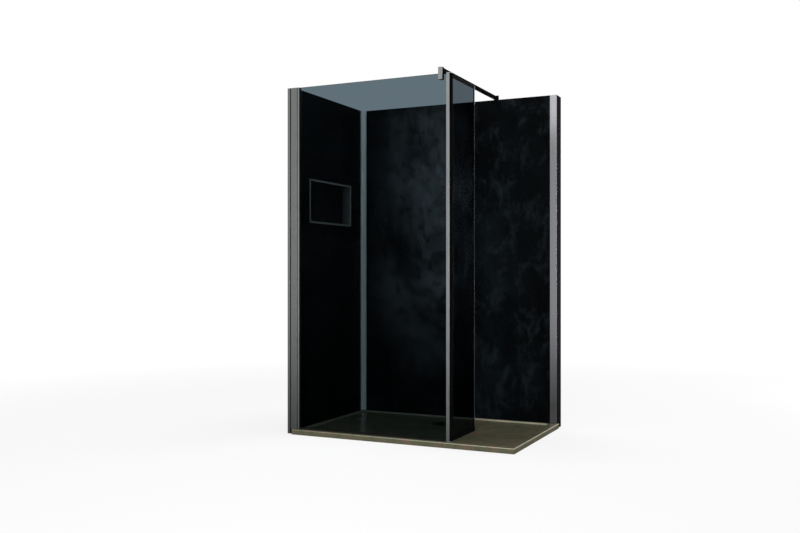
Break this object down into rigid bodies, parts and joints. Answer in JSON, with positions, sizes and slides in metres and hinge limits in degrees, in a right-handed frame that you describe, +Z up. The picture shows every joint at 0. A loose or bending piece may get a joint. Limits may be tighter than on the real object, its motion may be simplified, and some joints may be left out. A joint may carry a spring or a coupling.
{
  "type": "walk-in shower enclosure",
  "caption": "Corner walk-in shower enclosure: low tray, dark wall panels with a niche, smoked front glass, swinging return panel and support bar.",
  "frame": {"origin": "centre of the tray's underside, on the bathroom floor", "axes": "+Z up, +Y towards the wall behind the back panel, +X towards the open side where one walks in"},
  "size_m": [1.438, 0.973, 2.126],
  "materials": {
    "stone_resin": "cast mineral resin, olive grey, silk sheen",
    "wall_panel": "dark slate look, clouded, silk gloss",
    "niche_lining": "dark silk gloss",
    "smoked_glass": "smoked, blue-grey",
    "satin_aluminium": "satin anodised",
    "black_aluminium": "black powder coat",
    "black_board": "black powder coat",
    "galvanised_steel": "galvanised",
    "carrier_wood": "sealed plywood",
    "stainless_steel": "brushed",
    "waste_cover_finish": "black satin",
    "seal_rubber": "matt",
    "black_plastic": "moulded",
    "clear_plastic": "clear, glossy"
  },
  "bodies": {
    "enclosure": {"shower_tray": "stone_resin", "waste_gasket": "seal_rubber", "waste_flange": "black_plastic", "left_panel": "wall_panel", "back_panel": "wall_panel", "left_foot_seal": "seal_rubber", "back_foot_seal": "seal_rubber", "niche_box": "niche_lining", "niche_gasket": "seal_rubber", "niche_frame": "satin_aluminium", "inner_corner_profile": "satin_aluminium", "back_end_profile": "satin_aluminium", "back_end_closure": "black_board", "left_end_profile": "satin_aluminium", "left_end_trim": "satin_aluminium", "left_end_gasket": "seal_rubber", "left_studs": "galvanised_steel", "back_studs": "galvanised_steel", "left_rails": "carrier_wood", "back_rails": "carrier_wood", "left_rail_screws": "stainless_steel", "back_rail_screws": "stainless_steel", "left_top_cover": "black_aluminium", "back_top_cover": "black_aluminium", "wall_profile": "satin_aluminium", "wall_profile_screws": "stainless_steel", "adjusting_profile": "satin_aluminium", "wall_profile_cap": "satin_aluminium", "wall_glazing_gaskets": "seal_rubber", "post_glazing_gaskets": "seal_rubber", "front_glass": "smoked_glass", "front_bottom_seal": "seal_rubber", "hinge_post": "satin_aluminium", "lower_pivot_plate": "satin_aluminium", "upper_pivot_plate": "satin_aluminium", "pivot_plate_screws": "stainless_steel", "pivot_pins": "stainless_steel", "clamp_front_plate": "satin_aluminium", "clamp_body": "black_aluminium", "clamp_pads": "seal_rubber", "clamp_set_screws": "stainless_steel", "support_bar": "black_aluminium", "bar_wall_flange": "black_aluminium", "grub_screws": "stainless_steel"},
    "return_panel": {"pivot_bushes": "black_plastic", "return_profile": "black_aluminium", "return_gaskets": "seal_rubber", "return_glass": "smoked_glass", "return_edge_guard": "clear_plastic", "return_bottom_rail": "black_aluminium", "return_wiper_seal": "seal_rubber", "return_rail_cap": "black_plastic"},
    "waste_insert": {"hair_strainer": "black_plastic", "waste_cover": "waste_cover_finish"}
  },
  "joints": [
    {"name": "return_panel_swing", "type": "hinge", "parent": "enclosure", "child": "return_panel", "pos_m": [0.3223, -0.414, 0], "axis": [0, 0, 1], "range_deg": [-180, 0]},
    {"name": "waste_cover_lift", "type": "slide", "parent": "enclosure", "child": "waste_insert", "axis": [0, 0, 1], "range_m": [0, 0.12]}
  ]
}
